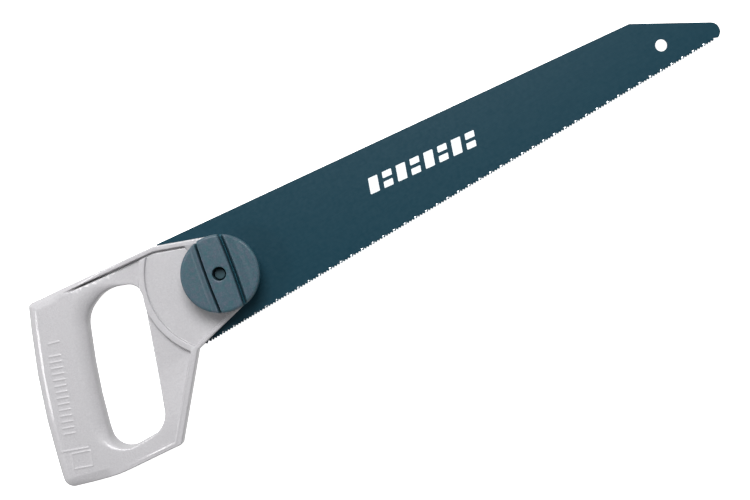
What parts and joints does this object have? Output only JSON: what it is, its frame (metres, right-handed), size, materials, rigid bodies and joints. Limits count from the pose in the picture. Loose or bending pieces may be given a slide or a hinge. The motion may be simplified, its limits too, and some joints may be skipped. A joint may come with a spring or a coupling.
{
  "type": "adjustable hand saw",
  "caption": "General-purpose hand saw: closed cast D handle, tapered coated blade pivoting in a slotted nose and clamped by a round knob on a bolt.",
  "frame": {"origin": "on the pivot axis, at the outer face of the clamp bolt's head, level with the grip's far side that the saw lies on", "axes": "+X along the tooth line to the toe, +Y towards the back of the blade, +Z from the bolt's head through the blade to the knob"},
  "size_m": [0.5245, 0.1307, 0.0354],
  "materials": {
    "casting_enamel": "cast aluminium under light grey enamel, satin",
    "zinc_steel": "bright zinc plate",
    "black_steel": "chemically blackened steel, lightly oiled",
    "blade_coating": "dark teal low-friction coating on spring steel, ground tooth tips",
    "knob_plastic": "moulded blue-grey plastic, satin"
  },
  "bodies": {
    "handle": {"handle_casting": "casting_enamel", "clamp_bolt": "black_steel"},
    "blade": {"saw_blade": "blade_coating"},
    "washer": {"thrust_washer": "zinc_steel"},
    "knob": {"clamp_knob": "knob_plastic", "knob_bush": "black_steel"}
  },
  "joints": [
    {"name": "blade_pivot", "type": "hinge", "parent": "handle", "child": "blade", "pos_m": [0, 0, 0.012], "axis": [0, 0, 1], "range_deg": [-90, 90]},
    {"name": "washer_lift", "type": "slide", "parent": "handle", "child": "washer", "axis": [0, 0, 1], "range_m": [0, 0.0038]},
    {"name": "knob_turn", "type": "hinge", "parent": "washer", "child": "knob", "pos_m": [0, 0, 0.028], "axis": [0, 0, 1], "range_deg": [0, 1080]}
  ],
  "couplings": [
    {"joint": "washer_lift", "follows": "knob_turn", "m_per_rad": 0.00019894}
  ]
}
